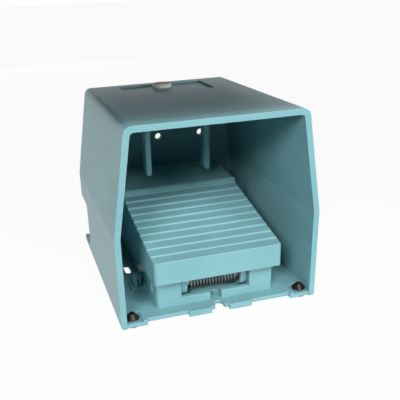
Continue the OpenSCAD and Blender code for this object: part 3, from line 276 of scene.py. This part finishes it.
def bake(piece, tree, values):
    """Runs a node tree on a piece and keeps the result as its plain mesh."""
    modifier = piece.modifiers.new("shape", "NODES")
    modifier.node_group = tree
    for item in tree.interface.items_tree:
        if item.item_type == "SOCKET" and item.in_out == "INPUT" and item.name in values:
            modifier[item.identifier] = values[item.name]
    bpy.context.view_layer.update()
    made = piece.evaluated_get(bpy.context.evaluated_depsgraph_get())
    mesh = bpy.data.meshes.new_from_object(made)
    piece.modifiers.remove(modifier)
    piece.data = mesh
    return piece


def wound_wire(name, points, radius_mm, finish, sides=14):
    """A piece of round wire along a path of points in metres."""
    path = bpy.data.meshes.new(name)
    path.from_pydata(points, [(i, i + 1) for i in range(len(points) - 1)], [])
    piece = bpy.data.objects.new(name, path)
    bpy.context.scene.collection.objects.link(piece)
    return bake(piece, round_wire, {"Wire radius": radius_mm * MM, "Sides": sides,
        "Finish": finish})


round_wire = wire_tree()

# The torsion spring has the same curls and legs as its solid, in millimetres and degrees
SHAFT_Y, SHAFT_Z = -63.0, 19.0
COIL_RADIUS, COIL_WIRE, COIL_PITCH, COIL_CURLS = 5.4, 1.8, 2.6, 15
FIRST_ANGLE, LAST_ANGLE = -60.0, -15.0
FRONT_LEG, REAR_LEG = 7.24, 32.7
FULL_TURN = 360


def torsion_point(angle, along, x):
    """A point of the wire: the angle round the shaft, and how far along its tangent."""
    c, s = math.cos(math.radians(angle)), math.sin(math.radians(angle))
    return (x * MM, (SHAFT_Y + COIL_RADIUS * c - s * along) * MM,
        (SHAFT_Z + COIL_RADIUS * s + c * along) * MM)


def torsion_path(steps=28):
    """Front leg, curls and rear leg of the torsion spring."""
    turns = COIL_CURLS + (LAST_ANGLE - FIRST_ANGLE) / FULL_TURN
    half = COIL_PITCH * turns / 2
    count = round(turns * steps)
    front = [torsion_point(FIRST_ANGLE, -FRONT_LEG * share, -half) for share in (1, 0.66, 0.33)]
    curls = [torsion_point(FIRST_ANGLE + FULL_TURN * turns * i / count, 0,
        half * (2 * i / count - 1)) for i in range(count + 1)]
    rear = [torsion_point(LAST_ANGLE, REAR_LEG * share, half) for share in (0.25, 0.5, 0.75, 1)]
    return front + curls + rear


torsion = wound_wire("torsion_spring_wire", torsion_path(), COIL_WIRE / 2, wire)
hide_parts("torsion_spring")
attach(torsion, "base")

# The return spring stands in the plunger's bore, with the same curls as its solid, in millimetres.
RETURN_WIRE, RETURN_CURLS, PLUNGER_TRAVEL = 1.0, 12, 6.28
return_low, return_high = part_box("return_spring")


def return_path(steps=24):
    """The curls of the return spring, from its seat to its top, in metres."""
    half = RETURN_WIRE * MM / 2
    middle = (return_low + return_high) / 2
    radius = (return_high.x - return_low.x) / 2 - half
    low, high = return_low.z + half, return_high.z - half
    count = RETURN_CURLS * steps
    turn = [2 * math.pi * i / steps for i in range(count + 1)]
    return [(middle.x + radius * math.cos(a), middle.y + radius * math.sin(a),
        low + (high - low) * i / count) for i, a in enumerate(turn)]


coil = wound_wire("return_spring_wire", return_path(), RETURN_WIRE / 2, wire, sides=10)
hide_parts("return_spring")
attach(coil, "base")
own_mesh(coil)


def card(name, low, high, material):
    """A level rectangle between two corners, outside the object."""
    mesh = bpy.data.meshes.new(name)
    (x0, y0, z), (x1, y1, _) = low, high
    mesh.from_pydata([(x0, y0, z), (x1, y0, z), (x1, y1, z), (x0, y1, z)], [], [(0, 1, 2, 3)])
    mesh.materials.append(material)
    made = bpy.data.objects.new(name, mesh)
    bpy.context.scene.collection.objects.link(made)
    return made


def looked_at(tree):
    """One where the camera sees a place itself, through glass or as a reflection, else zero."""
    rays = add(tree, "ShaderNodeLightPath").outputs
    direct = add(tree, "ShaderNodeMath", {0: rays["Is Camera Ray"], 1: rays["Is Transmission Ray"]},
        operation="MAXIMUM")
    return add(tree, "ShaderNodeMath", {0: direct, 1: rays["Is Glossy Ray"]}, operation="MAXIMUM")


def paper():
    """White paper that looks plain white. Near the object it sends light back as paper does,
    and further out less, so that the hood isn't lit from below."""
    material, tree = new_material("white_paper_floor")
    share = add(tree, "ShaderNodeMath", {0: looked_at(tree), 1: 0.95}, operation="MULTIPLY")
    place = add(tree, "ShaderNodeTexCoord").outputs["Object"]
    away = add(tree, "ShaderNodeVectorMath", {0: place}, operation="LENGTH").outputs["Value"]
    dim = add(tree, "ShaderNodeMapRange", {"Value": away, "From Min": 0.18, "From Max": 0.42})
    tone = add(tree, "ShaderNodeMix", {"Factor": dim, "A": linear("#d6dada"),
        "B": linear("#4c4f4f")}, data_type="RGBA")
    sheet = add(tree, "ShaderNodeBsdfDiffuse", {"Color": tone})
    glow = add(tree, "ShaderNodeEmission", {"Color": linear("#ffffff"), "Strength": 1.0})
    both = add(tree, "ShaderNodeMixShader", {0: share, 1: sheet, 2: glow})
    add(tree, "ShaderNodeOutputMaterial", {"Surface": both})
    return material


def scrim():
    """Black net of a photographer's flag: it lets a sixth of the light through."""
    material, tree = new_material("black_net_flag")
    open_part = add(tree, "ShaderNodeBsdfTransparent", {"Color": linear("#ffffff")})
    net = add(tree, "ShaderNodeBsdfDiffuse", {"Color": linear("#0c0d0d")})
    both = add(tree, "ShaderNodeMixShader", {0: 0.84, 1: open_part, 2: net})
    add(tree, "ShaderNodeOutputMaterial", {"Surface": both})
    return material


def studio_world():
    """Dim air for the light, and white behind the object and in its reflections."""
    world = bpy.data.worlds.new("studio_air")
    bpy.context.scene.world = world
    world.use_nodes = True
    tree = world.node_tree
    tree.nodes.clear()
    air = add(tree, "ShaderNodeBackground", {"Color": linear("#dfe6ea"), "Strength": 0.02})
    white = add(tree, "ShaderNodeBackground", {"Color": linear("#ffffff"), "Strength": 1.0})
    both = add(tree, "ShaderNodeMixShader", {0: looked_at(tree), 1: air, 2: white})
    add(tree, "ShaderNodeOutputWorld", {"Surface": both})


LAMP_AWAY, MIDDLE_HEIGHT = 1.6, 0.07
SENSOR_MM, FRAME_PX = 36.0, 400


def towards(azimuth, elevation):
    """The way to a place round the object, in degrees. Azimuth 0 is in front of the opening."""
    a, e = math.radians(azimuth), math.radians(elevation)
    return Vector((math.sin(a) * math.cos(e), -math.cos(a) * math.cos(e), math.sin(e)))


def softbox(name, azimuth, elevation, watts, width=0.45, height=0.45):
    """A white area lamp, LAMP_AWAY from the object and turned to its middle."""
    lamp = bpy.data.lights.new(name, "AREA")
    lamp.shape, lamp.size, lamp.size_y = "RECTANGLE", width, height
    lamp.energy = watts
    holder = bpy.data.objects.new(name, lamp)
    away = towards(azimuth, elevation)
    holder.location = Vector((0, 0, MIDDLE_HEIGHT)) + away * LAMP_AWAY
    holder.rotation_mode = "QUATERNION"
    holder.rotation_quaternion = away.to_track_quat("Z", "Y")
    bpy.context.scene.collection.objects.link(holder)
    return holder


def photograph_camera(azimuth=-14.606, elevation=20.418, roll=-2.574, distance=0.50583,
        target=(-0.02204, 0.002, 0.06575), lens_px=582.75, shift=0.1):
    """The camera of the view matched: angles in degrees, the lens in pixels of the frame."""
    a, r = math.radians(azimuth), math.radians(roll)
    back = towards(azimuth, elevation)
    right = Vector((math.cos(a), math.sin(a), 0))
    up = back.cross(right)
    right, up = right * math.cos(r) + up * math.sin(r), up * math.cos(r) - right * math.sin(r)
    data = bpy.data.cameras.new("camera")
    data.sensor_width = SENSOR_MM
    data.lens = lens_px / FRAME_PX * SENSOR_MM
    data.shift_x = shift
    data.clip_start, data.clip_end = 0.01, 50.0
    camera = bpy.data.objects.new("camera", data)
    camera.matrix_world = Matrix((
        (right.x, up.x, back.x, 0), (right.y, up.y, back.y, 0),
        (right.z, up.z, back.z, 0), (0, 0, 0, 1)))
    camera.location = Vector(target) + back * distance
    bpy.context.scene.collection.objects.link(camera)
    bpy.context.scene.camera = camera


# The studio, in metres. The flag lies just over the roof and goes past its edges.
FLOOR_REACH = 9
FLAG_HEIGHT, FLAG_SIDE, FLAG_FRONT, FLAG_REAR = 0.182, 0.1, -0.108, 0.16

bpy.context.scene.view_settings.view_transform = "Standard"
photograph_camera()
card("studio_floor", (-FLOOR_REACH, -FLOOR_REACH, 0), (FLOOR_REACH, FLOOR_REACH, 0), paper())
# A net over the roof keeps most of the lamps' light off it
flag = card("roof_flag", (-FLAG_SIDE, FLAG_FRONT, FLAG_HEIGHT), (FLAG_SIDE, FLAG_REAR, FLAG_HEIGHT),
    scrim())
flag.visible_camera = False
studio_world()
softbox("left_softbox", -35, 30, 19)
softbox("high_softbox", 10, 45, 13)
# From behind, the roof would mirror this low lamp as a glare
low_lamp = softbox("right_softbox", 40, 15, 16)
low_lamp.visible_glossy = False
# A low strip behind lights the rear wall about as strongly as the front
rear_lamp = softbox("rear_strip", 180, 3, 18, width=0.9, height=0.12)
rear_lamp.visible_camera = rear_lamp.visible_glossy = False
